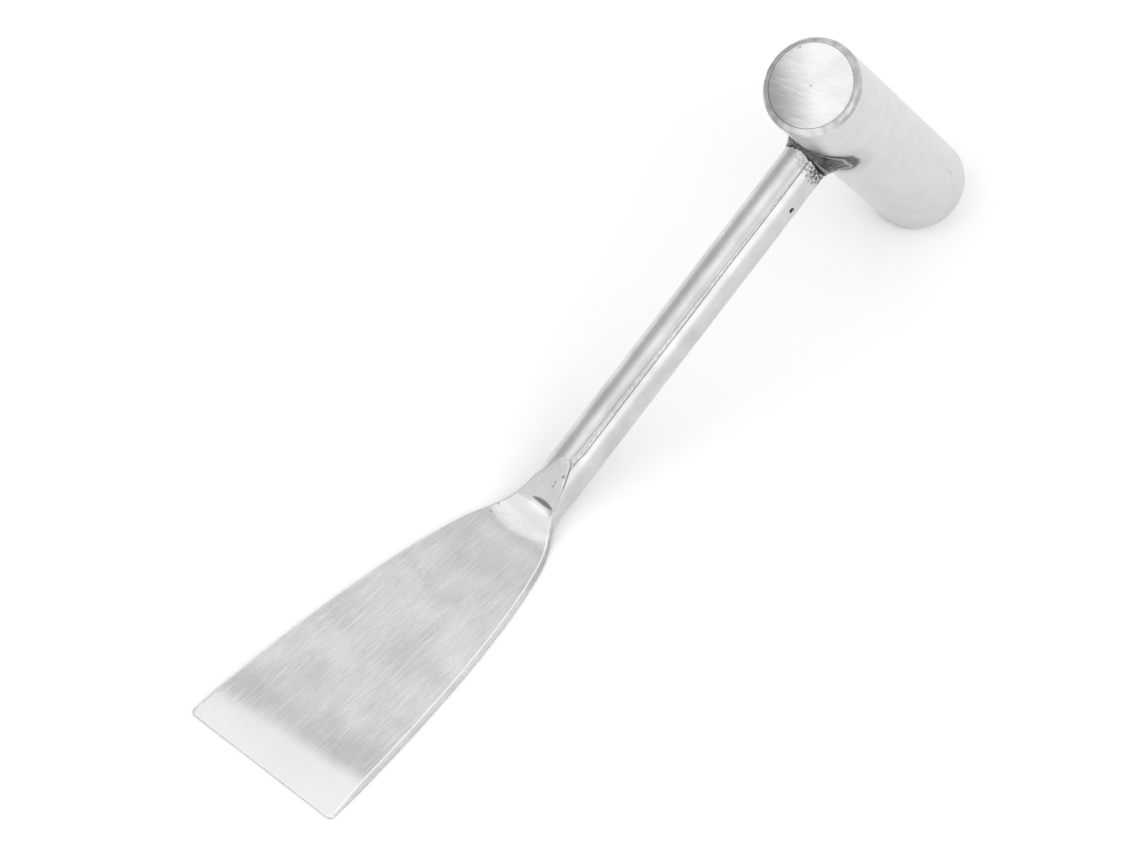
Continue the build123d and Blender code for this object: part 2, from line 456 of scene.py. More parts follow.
def tone_over(material: Material, attribute: str, colour: str, roughness: float) -> None:
    """Lay a second tone over a finish where a point attribute of the mesh says so.
    The tones are real marks and oxide, and also painted highlights and painted shade.

    Args:
        material: a finish that Steel.build made.
        attribute: name of the attribute, 0 for none of the stain and 1 for all of it.
        colour: the tone's sRGB hex colour.
        roughness: the roughness where the tone lies.
    """
    tree = material.node_tree
    shader = next(n for n in tree.nodes if n.bl_idname == "ShaderNodeBsdfPrincipled")
    amount = add_node(tree, "Attribute", attribute_name=attribute).outputs["Fac"]
    for socket, kind, (low, high), out, over in (
        ("Base Color", "RGBA", (6, 7), 2, linear(colour)),
        ("Roughness", "FLOAT", (2, 3), 0, roughness),
    ):
        under = shader.inputs[socket].links[0].from_socket
        mix = add_node(tree, "Mix", {0: amount, low: under, high: over}, data_type=kind)
        tree.links.new(mix.outputs[out], shader.inputs[socket])


def mark(piece: Piece, attribute: str, values: Array) -> None:
    """Store one number per point of the grid that the piece was made of; caps get 0."""
    data = np.zeros(len(piece.data.vertices), np.float32)
    data[: values.size] = np.clip(values, 0, 1).ravel()
    piece.data.attributes.new(attribute, "FLOAT", "POINT").data.foreach_set("value", data)


# ---------- head
@dataclass
class MalletHead:
    """The barrel with its two flush end discs and the ground welds between them."""

    axes: ToolAxes
    radius: float = 19.0
    wall: float = 2.0
    rim: float = 2.5
    disc_radius: float = 16.5
    disc_thickness: float = 3.0
    weld_root: float = 3.0
    weld_flank: float = 55.0
    weld_half: float = 10.6
    lay_turn: float = 72.7
    scuffs: tuple[Triple, ...] = (
        (79.0, 239.0, 0.9), (81.0, 240.5, 0.5), (-4.7, 300.3, 0.4), (-22.7, 275.8, 0.4),
    )
    columns: int = 360

    def build_barrel(self) -> Piece:
        """Barrel: a tube whose radius sags by hundredths of a millimetre where it was rolled.

        Formula: radius = 19 - 0.012 * (1 + long soft waves) outside, and the plain bore inside.

        Returns:
            The barrel.
        """
        start, stop = -self.axes.front_reach + self.rim, self.axes.rear_reach - self.rim
        along = np.linspace(start, stop, 150)
        turn = ring(self.columns)
        a, t = np.meshgrid(along, turn, indexing="ij")
        sag = 0.012 * (1 + 0.5 * round_waves(t, 4, (2, 3)) * np.sin(a / 40))
        outer = self.radius - sag
        bore = np.full((2, self.columns), self.radius - self.wall)
        radius = np.vstack([outer, bore])
        station = np.vstack([a, np.full_like(a[:1], stop), np.full_like(a[:1], start)])
        turns = np.vstack([t, t[:2]])
        grid = self.axes.place(radius * np.cos(turns), radius * np.sin(turns), station)
        girth = turns * self.radius
        uv = girth_uv(np.append(station[:, 0], start), np.vstack([girth, girth[:1]]))
        piece = surface("head_barrel", grid, Ends.WRAPPED, uv)
        # Heat tint: brown-grey oxide, dark within 2 mm of the weld and faint up to 9 mm.
        flank = np.abs(np.arctan2(np.sin(turns), np.cos(turns)))
        reach = (flank / radians(self.weld_flank)) ** 2.5
        reach = reach + np.abs(station / self.weld_half) ** 2.5
        reach = np.maximum(reach**0.4, 0.1)
        beyond = (reach - 1) / reach * np.hypot(flank * self.radius, station)
        ragged = 0.35 * waves(station, girth, 8, 24, 9, 1.6)
        halo = 0.78 * fall(beyond + ragged, 0.0, 2.2) + 0.22 * fall(beyond, 0.5, 9.5)
        scuffs = sum(
            0.6 * bell(station - at, long) * bell(girth - radians(angle) * self.radius, 0.35)
            for at, angle, long in self.scuffs
        )
        halo = np.maximum(halo, scuffs) * (radius > self.radius - 1)
        mark(piece, "heat_tint", halo)
        return piece

    def build_rim(self, end: str) -> Piece:
        """Ground weld round one end: a quarter round, uneven by hand, with a fine crevice
        where it meets the disc.

        Formula: in the section, a quarter circle of the rim's radius, lowered by up to
        0.3 mm of waves, with the inner lip rolled down 0.12 mm over the last 0.33 mm.

        Args:
            end: "front" or "rear".

        Returns:
            The rim.
        """
        face, inward = self.axes.end(end)
        turn = ring(self.columns)
        quarter = np.linspace(asin(0.36 / self.rim), pi / 2, 22)
        lip = np.linspace(0, 1, 7)[:-1]
        # r and depth along the section: up the crevice, over the lip, round to the barrel.
        r_lip = self.disc_radius + 0.03 + 0.33 * (1 - np.cos(lip * pi / 2))
        d_lip = 0.12 * (1 - np.sin(lip * pi / 2)) + 0.026
        r_arc = self.disc_radius + self.rim * np.sin(quarter)
        d_arc = self.rim * (1 - np.cos(quarter))
        bore = self.radius - self.wall
        r = np.concatenate([[self.disc_radius + 0.02] * 2, r_lip, r_arc, [bore, bore]])
        d = np.concatenate([[self.weld_root, 1.0], d_lip, d_arc, [self.rim, self.weld_root]])
        section, t = np.meshgrid(np.arange(len(r)), turn, indexing="ij")
        bulge = climb(section, 7, 16) * fall(section, len(r) - 9, len(r) - 3)
        seed = 11 if end == "front" else 12
        uneven = 0.05 * (1 + 0.6 * round_waves(t, seed, (3, 5, 8, 13, 21, 34)))
        facet = 0.016 * (1 + waves(t * self.radius, section * 0.35, 17, 22, 14, 3.0))
        lower = np.clip(uneven + facet, 0, 0.3) * bulge
        depth = d[:, None] + lower * 0.75
        radius = r[:, None] - lower * 0.75
        grid = self.axes.place(radius * np.cos(t), radius * np.sin(t), face + inward * depth)
        piece = surface(f"{end}_rim", grid, Ends.WRAPPED, None)
        # Painted shade: the crevice by the disc is darkened, more on one side, and a lighter
        # painted shade lies over that side of the rim, most on its outer round.
        lean = 0.66 * np.cos(t) + 0.75 * np.sin(t)
        shadow = 0.05 + 0.6 * climb(lean, -0.2, 0.9)
        # Painted highlight: a pale band round one side of the rim.
        low_side = np.cos(t + radians(34))
        low_side = low_side + 0.05 * round_waves(t, 14, (9, 16, 25))
        mark(piece, "rim_painted_highlight", 0.7 * climb(low_side, 0.76, 1.02))
        skin = 0.2 * climb(lean + 0.25 * round_waves(t, 13, (3, 7, 12)), -0.1, 0.9)
        skin = skin + 0.3 * climb(section, 19, 27) * climb(lean, 0.1, 0.8)
        mark(piece, "crevice", np.maximum(shadow * fall(section, 2.0, 5.5), skin))
        return piece

    def build_face(
        self, end: str, pits: tuple[tuple[float, float, float, float], ...]
    ) -> Piece:
        """Striking face: a disc dished by 0.05 mm, its edge broken, with a few pits.

        Formula: depth = 0.05 * (1 - (r / R)^2), plus soft waves of 0.012 mm, plus for each
        pit its depth * exp(-(distance / size)^2).

        Args:
            end: "front" or "rear".
            pits: along the handle, across, size and depth of each pit in millimetres.

        Returns:
            The disc.
        """
        face, inward = self.axes.end(end)
        edge = self.disc_radius - 0.02
        turn = ring(self.columns - 60)
        rings = 96
        broken = edge - np.array([0.24, 0.12, 0.05, 0.02, 0.0, 0.0])
        r = np.concatenate([np.linspace(0.08, edge - 0.5, rings), broken])
        drop = [0.025, 0.04, 0.08, 0.13, 0.4, self.disc_thickness]
        d = np.concatenate([np.full(rings, 0.02), drop])
        radius, t = np.meshgrid(r, turn, indexing="ij")
        x, y = radius * np.cos(t), radius * np.sin(t)
        dish = 0.05 * (1 - (radius / edge) ** 2) + 0.012 * (1 + waves(x, y, 31, 14, 26, 7))
        depth = d[:, None] + fall(radius, edge - 1.5, edge) * dish
        pit_dark = np.zeros_like(x)
        for px, py, size, deep in pits:
            away = np.hypot(x - px, y - py)
            depth = depth + deep * bell(away, size)
            pit_dark = pit_dark + 0.8 * bell(away, 0.8 * size)
        grid = self.axes.place(x, y, face + inward * depth)
        uv = np.stack([x, y], -1) * MM
        piece = surface(f"{end}_face", grid, Ends.CAPPED, np.concatenate([uv, uv[:, :1]], 1))
        # Painted shade: one side of the disc is darker, with a ragged border along the lay, and
        # the last millimetre by the edge is a little darker all round.
        lean = (x * 0.78 + y * 0.62) / edge
        lay = radians(self.lay_turn)
        run = x * cos(lay) + y * sin(lay)
        gap = y * cos(lay) - x * sin(lay)
        ragged = 0.07 * waves(run * 0.12, gap, 35, 24, 7, 0.8)
        border = 0.1 * climb(radius, edge - 1.0, edge)
        mark(piece, "disc_painted_shade_side", 0.85 * climb(lean + ragged, -0.1, 1.05) + border)
        # Painted shade along the disc's edge by the rim, more on one side. The pits are darker as
        # well.
        crevice = (0.1 + 0.45 * climb(lean, -0.3, 0.8)) * (radius > edge - 0.06)
        mark(piece, "dark_pits_and_edge_shade", pit_dark + crevice)
        return piece

    def dress(self) -> None:
        """Make barrel, rims and faces, give them their finishes and put them on the body in place
        of their CAD nodes.
        """
        # Welded 304 tube, satin-polished and tumbled: a soft, cloudy sheen without lines.
        satin = Steel(
            "satin_tumbled_stainless_tube", "#d7d7d7", "#e1e1e1", 0.38, 0.01, cloud=9.0,
            lay_pitch=0.5, lay_run=1.2, lay_depth=0.0015, lay_contrast=0.5, ground=Ground.UV,
            grain=0.5,
        ).build(("heat_tint", "#545352", 0.34))
        settle(self.build_barrel(), satin, "head_steel", "head_tube")
        # TIG bead ground flush with a flap disc: small facets and a sharper shine than the tube.
        # Over it: a painted highlight round one side of the rim, and painted shade in the
        # crevice and over the other side.
        ground = Steel(
            "flap_ground_weld_steel", "#a6a6a6", "#d4d4d4", 0.27, 0.06, cloud=3.2,
            lay_pitch=0.4, lay_run=2.6, lay_depth=0.010, lay_contrast=0.4, grain=0.35,
        ).build(("rim_painted_highlight", "#f2f2f2", 0.3), ("crevice", "#2b2a29", 0.6))
        # Disc linished on a belt: fine parallel lines, so its shine is drawn out across them.
        # Over it: painted shade on one side and along the edge, and darker pits.
        belt = Steel(
            "belt_linished_stainless_disc", "#cfcfcf", "#f1f1f1", 0.31, 0.04, cloud=14.0,
            lay_pitch=0.3, lay_run=6.0, lay_depth=0.007, lay_contrast=0.7, ground=Ground.UV,
            lay_turn=(0.0, 0.0, -radians(self.lay_turn)), scratches=0.22,
        ).build(("disc_painted_shade_side", "#7e7e7e", 0.36), ("dark_pits_and_edge_shade", "#3c3c3c", 0.5))
        front_pits = (
            (0.0, 0.0, 0.3, 0.14), (-8.9, 12.7, 0.4, 0.12), (-8.3, 13.3, 0.3, 0.1),
            (5.6, 3.2, 0.26, 0.1), (-0.4, 11.2, 0.22, 0.08),
        )
        rear_pits = ((0.4, 0.5, 0.38, 0.16), (6.2, 7.4, 0.4, 0.12), (-9.1, 3.2, 0.35, 0.1))
        for end, pits in (("front", front_pits), ("rear", rear_pits)):
            settle(self.build_face(end, pits), belt, "face_steel", f"{end}_disc")
            settle(self.build_rim(end), ground, "rim_steel", f"{end}_rim_weld")


# ---------- sheet planes
@dataclass
class SheetLine:
    """Where the tang and the blade run, in the handle's own measures (millimetres)."""

    axes: ToolAxes
    edge_x: float
    sheet: float = 2.5
    tang_station: float = 164.0
    tang_slope: float = radians(9.0)
    rise: float = radians(30.0)
    handle_radius: float = 9.0
    bend_radius: float = 12.0
    back_radius: float = 9.5
    reach: float = 140.0

    @property
    def yaw(self) -> float:
        """Angle between handle and blade, seen from above."""
        return atan2(float(self.axes.handle[1]), float(-self.axes.handle[0]))

    @property
    def bend(self) -> float:
        """X of the line where the upper planes of tang and blade meet."""
        return self.edge_x + self.reach

    @property
    def heading(self) -> Array:
        """Level direction from the head to the blade."""
        level = self.axes.handle * [1, 1, 0]
        return level / np.linalg.norm(level)

    @property
    def bend_run(self) -> float:
        """Level distance from the handle's crossing with the head to the bend."""
        return float(self.axes.cross[0] - self.bend) / cos(self.yaw)

    def tang_top(self, h: Array) -> Array:
        """The tang's upper plane: a = -9 + tan 9 degrees * (h - 164)."""
        return -self.handle_radius + tan(self.tang_slope) * (h - self.tang_station)

    def upper(self, u: Array) -> Array:
        """Height of the sheet's upper side at u past the bend: level, then up at
        39 degrees, with an arc of the bend radius between them."""
        return self._side(u, self.bend_radius, self.sheet, 0.0)

    def lower(self, u: Array) -> Array:
        """Height of the sheet's back, with the larger arc of the bend's outside."""
        pitch = self.rise + self.tang_slope
        shift = self.sheet * tan(pitch / 2)
        return self._side(u, self.back_radius, 0.0, shift)

    def _side(self, u: Array, radius: float, level: float, shift: float) -> Array:
        """One side of the bent sheet: level height, corner moved back by shift.

        Args:
            u: distance past the bend.
            radius: radius of the arc on this side.
            level: height of the level part.
            shift: how far back the corner lies.

        Returns:
            Height at u.
        """
        pitch = self.rise + self.tang_slope
        back = -u - shift
        tangent = radius * tan(pitch / 2)
        into = np.clip(back + tangent, 0, radius * sin(pitch))
        arc = level + radius - np.sqrt(radius**2 - into**2)
        slope = level + np.clip(back, 0, None) * tan(pitch)
        bent = np.where(back < tangent * cos(pitch), arc, slope)
        return np.where(back < -tangent, level, bent)


# ---------- handle
@dataclass
class TubeHandle:
    """Round tube handle, flattened under the tang, with its long seam and a vent hole."""

    axes: ToolAxes
    line: SheetLine
    radius: float = 9.0
    head_radius: float = 19.0
    weld_clear: float = 24.0
    flat_stations: Row = (170.0, 174.0, 182.0, 189.0)
    flat_centres: Row = (0.0, 0.0, -1.5, -2.6)
    flat_across: Row = (9.0, 9.0, 9.6, 11.2)
    flat_deep: Row = (9.0, 9.0, 7.0, 4.0)
    vent_station: float = 40.0
    vent_turn: float = radians(77.0)
    vent_radius: float = 1.0
    vent_depth: float = 1.3
    seam_turn: float = radians(31.0)
    seam_depth: float = 0.07
    tang_gap: float = 0.12
    map_column: int = 60

    def turns(self) -> Array:
        """Angles round the tube from the top towards -Y, closer set at the seam and vent."""
        seam = self.seam_turn + np.linspace(-4.2, 1.0, 40) / self.radius
        vent = self.vent_turn + np.linspace(-1.4, 1.4, 24) / self.radius
        return np.unique(np.round(np.concatenate([ring(170), seam, vent]), 4))

    def section(self, h: Array, turn: Array) -> tuple[Array, Array]:
        """Across and along-head place of the tube's surface: an ellipse whose centre and
        half axes change along the flattened end.

        Args:
            h: station along the handle.
            turn: angle round the tube.

        Returns:
            Place across, and place along the head.
        """
        knots = np.array(self.flat_stations)
        reach = np.maximum(h, knots[0])
        curves = (self.flat_centres, self.flat_across, self.flat_deep)
        centre, across, deep = (hermite(reach, knots, np.array(v)) for v in curves)
        return -across * np.sin(turn), centre - deep * np.cos(turn)

    def build(self) -> Piece:
        """Tube: ellipses along the handle, cut off under the tang.

        Formula: where the section rises above the tang's plane it is brought down to
        0.12 mm under it, and 1.2 mm where the sheet is full. The seam is a groove 0.07 mm
        deep along a line, and the vent a pit of 1 mm radius with a sharp edge.

        Returns:
            The tube.
        """
        turn = self.turns()
        runs = (
            np.arange(self.weld_clear, 33, 0.3), np.arange(33, 38.4, 0.8),
            np.arange(38.4, 41.6, 0.12), np.arange(41.6, 158, 0.9), np.arange(158, 176, 0.35),
            np.linspace(176, self.flat_stations[-1], 44),
        )
        fixed = np.concatenate(runs)
        saddle = np.sqrt(self.head_radius**2 - (self.radius * np.sin(turn)) ** 2) - 0.25
        t = np.linspace(0, 1, 15)[:-1, None]
        foot = saddle + (self.weld_clear - saddle) * t
        h = np.vstack([foot, np.repeat(fixed[:, None], len(turn), 1)])
        phi = np.broadcast_to(turn, h.shape)
        girth = phi * self.radius
        seam = girth - self.seam_turn * self.radius + 0.05 * np.sin(h / 9)
        seam = seam + 0.6 * climb(h, 158, 163.5)
        spread = 0.5 + 2.1 * np.clip((h - 25) / 139, 0, 1)
        rough_line = 0.08 * waves(h, 0 * h, 51, 18, 7, 0.9)
        groove = bell(seam, 0.15) * fall(h, 163, 168)
        second = bell(seam + spread + rough_line, 0.16) * fall(h, 158, 166)
        ribbon = climb(seam, -spread, -spread + 0.3) * fall(seam, -0.1, 0.2)
        mottle = 0.5 + 0.5 * waves(h, girth * 2.0, 52, 30, 6, 0.8)
        away = np.hypot(h - self.vent_station, girth - self.vent_turn * self.radius)
        pit = fall(away, self.vent_radius - 0.08, self.vent_radius + 0.08)
        sink = self.seam_depth * groove + 0.02 * second + 0.012 * ribbon * mottle
        sink = sink + self.vent_depth * pit + 0.025 * (1 + waves(h, girth, 53, 10, 80, 22))
        b, a = self.section(h, phi)
        b = b + sink * np.sin(phi)
        a = a + sink * np.cos(phi)
        above = self.line.tang_top(h) - a
        cover = self.tang_gap + 1.1 * climb(h, 172, 177)
        a = np.where(above > 0, self.line.tang_top(h) + np.minimum(cover, 2 * above), a)
        uv = girth_uv(h[:, self.map_column], girth)
        piece = surface("handle_tube_drawn", self.axes.place(h, b, a), Ends.CAPPED, uv)
        speckled = ribbon * np.clip(mottle - 0.2, 0, 1)
        mark(piece, "seam", 0.95 * groove + 0.5 * second + 0.3 * speckled)
        # Painted shade: the vent pit is coloured near black for the dark inside of the hole.
        mark(piece, "vent", pit)
        # Dark spatter and oxide close to the weld, patchy, more on the side towards -Y.
        right = 0.25 + 0.75 * climb(np.sin(phi), 0.2, 0.95)
        near = fall(h, 22.8, 26.5 + 4.8 * np.clip(np.sin(phi), 0, 1))
        dust = 1.5 * near + 0.9 * waves(h, girth, 54, 40, 2.4, 0.7) * np.sqrt(near) - 0.6
        mark(piece, "spatter", 0.95 * np.clip(dust, 0, 1) * right)
        return piece

    def dress(self) -> None:
        """Give the tube its finish and put it on the body in place of its CAD node."""
        # Welded 304 tube, bright annealed and polished along its length: sharp long bands of
        # light, with faint lines along the tube.
        bright = Steel(
            "bright_polished_stainless_tube", "#c8c8c8", "#e0e0e0", 0.29, 0.04, cloud=13.0,
            lay_pitch=0.35, lay_run=26.0, lay_depth=0.004, lay_contrast=0.4, ground=Ground.UV,
            scratches=0.12, grain=0.35,
        # Its vent tone is painted shade for the inside of the hole.
        ).build(("seam", "#4c4c4c", 0.42), ("spatter", "#3e3d3c", 0.38), ("vent", "#0c0c0c", 0.8))
        settle(self.build(), bright, "handle_steel", "handle_tube")


@dataclass
class HandleWeld:
    """Fillet weld round the foot of the handle, with flanks down the sides of the head."""

    axes: ToolAxes
    handle_radius: float = 9.0
    head_radius: float = 19.0
    toe: float = 22.8
    toe_front: float = 20.6
    foot_angle: float = radians(55.0)
    foot_half: float = 10.6
    blunt: float = 0.72
    ripple: float = 2.3

    def build(self) -> Piece:
        """Bead: a bowed skin from the toe on the tube to the foot on the head, with painted shade
        at both edges and in the ripples' creases, and a painted highlight on its raised lines and
        on a contour along its flanks.

        Formula: for each angle round the handle a parabola from toe to foot, whose middle
        point lies near the corner, plus ripples |sin| of the way along the bead, bent back
        at both edges as the pool froze. The foot's outline has the sine and cosine of the
        angle to the power 0.72, which makes its lobes blunt.

        Returns:
            The bead.
        """
        turn = ring(520)
        t = np.linspace(0, 1, 60)
        side, fore = np.cos(turn), np.sin(turn)
        wobble = 0.22 * round_waves(turn, 61, (7, 11, 17, 23, 31))
        toe_h = self.toe_front + (self.toe - self.toe_front) * np.abs(side) ** 1.4 + wobble
        toe_h = np.minimum(toe_h, self.toe)
        flank = self.head_radius * sin(self.foot_angle)
        foot_r = 1 - 0.02 * (1 + round_waves(turn, 62, (3, 5, 9)))
        lobe_b, lobe_a = (np.sign(v) * np.abs(v) ** self.blunt for v in (side, fore))
        foot_b, foot_a = flank * lobe_b * foot_r, self.foot_half * lobe_a * foot_r
        foot_h = np.sqrt(self.head_radius**2 - foot_b**2) - 0.12
        skin = self.handle_radius - 0.06
        toe_b, toe_a = skin * side, skin * fore
        fill = 0.36
        mid_b = (1 - fill) * (toe_b * 1.05) + fill * (toe_b + foot_b) / 2
        mid_a = (1 - fill) * (toe_a * 1.05) + fill * (toe_a + foot_a) / 2
        corner_h = np.sqrt(self.head_radius**2 - mid_b**2) + 0.4
        mid_h = (1 - fill) * corner_h + fill * (toe_h + foot_h) / 2
        w = t[:, None]

        def bow(start: Array, middle: Array, stop: Array) -> Array:
            """Parabola through three control points."""
            return (1 - w) ** 2 * start + 2 * w * (1 - w) * middle + w**2 * stop

        b, a = bow(toe_b, mid_b, foot_b), bow(toe_a, mid_a, foot_a)
        h = bow(toe_h, mid_h, foot_h)
        half_way = len(t) // 2
        steps = np.hypot(np.diff(b[half_way]), np.diff(a[half_way]))
        run = np.concatenate([[0], np.cumsum(steps)])
        laps = round(run[-1] / self.ripple)
        phase = pi * laps * run / run[-1] + 4.2 * (2 * w - 1) ** 2
        phase = phase + round_waves(turn, 63, (2, 3, 5))
        scale = np.abs(np.sin(phase)) ** 0.5
        # A raised line runs round just inside the foot, and a fainter one half way up.
        line = 0.85 + 0.02 * round_waves(turn, 65, (3, 4, 7))
        upper = 0.36 + 0.06 * round_waves(turn, 67, (2, 3, 5))
        raised_line_and_highlight = bell(w - line, 0.035) + 0.3 * bell(w - upper, 0.04) * (1 + np.sin(3 * turn))
        lumps = 0.06 * waves(b * 1.4, a * 1.4 + h, 64, 20, 7, 3.0)
        swell = 0.6 * (0.3 * raised_line_and_highlight + 0.12 * scale + lumps + 0.35) * np.sin(pi * w) ** 0.55
        out = np.hypot(b, a)
        b, a, h = b + swell * b / out, a + swell * a / out, h + swell
        # The bead never dips into the barrel: it keeps a skin that thins towards the foot.
        barrel = np.sqrt(np.clip(self.head_radius**2 - b**2, 0, None))
        skin_h = barrel + (0.8 + 0.12 * scale + 0.2 * raised_line_and_highlight) * (1 - w) ** 0.6 - 0.1
        h = np.minimum(np.maximum(h, np.minimum(skin_h, toe_h)), self.toe)
        h = np.vstack([h, foot_h - 2.0, toe_h - 0.2])
        b, a = np.vstack([b, foot_b * 0.8, toe_b * 0.9]), np.vstack([a, foot_a * 0.8, toe_a * 0.9])
        piece = surface("handle_weld_bead", self.axes.place(h, b, a), Ends.WRAPPED, None, 60.0)
        # Painted shade: darker in the creases between ripples and along both edges of the bead,
        # where it meets tube and head. Painted highlight: pale along the raised lines and a
        # contour on the flanks.
        creases = (1 - scale) * np.sin(pi * w) ** 0.3
        inside = np.zeros((2, len(turn)))
        edges = 0.95 * fall(w, 0.05, 0.13) + 0.7 * climb(w, 0.91, 0.97)
        contour = bell(w - 0.17, 0.03) * climb(np.abs(side), 0.5, 0.9)
        mark(piece, "ripple", np.vstack([np.maximum(0.3 * creases, edges), inside]))
        mark(piece, "raised_line_and_highlight", np.vstack([0.9 * np.maximum(raised_line_and_highlight, 0.8 * contour), inside]))
        return piece


@dataclass
class HeelWeld:
    """Bead that closes the flattened end of the handle under the sheet."""

    axes: ToolAxes
    line: SheetLine
    start: float = 188.8
    stop: float = 192.4
    centres: tuple[float, float] = (-2.6, -1.9)
    across: tuple[float, float] = (11.2, 10.2)
    deep: tuple[float, float] = (4.0, 1.0)
    clear: float = 0.1

    def build(self) -> Piece:
        """Bead: flat ellipses that shrink towards the end with small ripples across, kept
        under the tang's plane and clear of the table.

        Returns:
            The bead.
        """
        turn = ring(240)
        t, phi = np.meshgrid(np.linspace(0, 1, 46), turn, indexing="ij")
        ease = 1 - np.sqrt(1 - t**2)
        ends = (self.centres, self.across, self.deep)
        centre, across, deep = ((1 - ease) * v[0] + ease * v[1] for v in ends)
        ripple = 0.14 * (np.abs(np.sin(phi * 17 + 2.2 * t)) ** 0.7 - 1)
        ripple = ripple + 0.05 * (round_waves(phi, 71, (4, 9, 15)) - 1)
        ripple = ripple * climb(t, 0.02, 0.2)
        h = self.start + (self.stop - self.start) * t
        b = -(across + ripple) * np.sin(phi)
        a = centre - (deep + ripple) * np.cos(phi)
        above = self.line.tang_top(h) - a
        a = np.where(above > 0, self.line.tang_top(h) + np.minimum(0.3, 2 * above), a)
        rise = self.line.rise
        table = (self.axes.cross[2] - self.clear - h * sin(rise)) / cos(rise)
        return surface("heel_weld_bead", self.axes.place(h, b, np.minimum(a, table)), Ends.CAPPED)


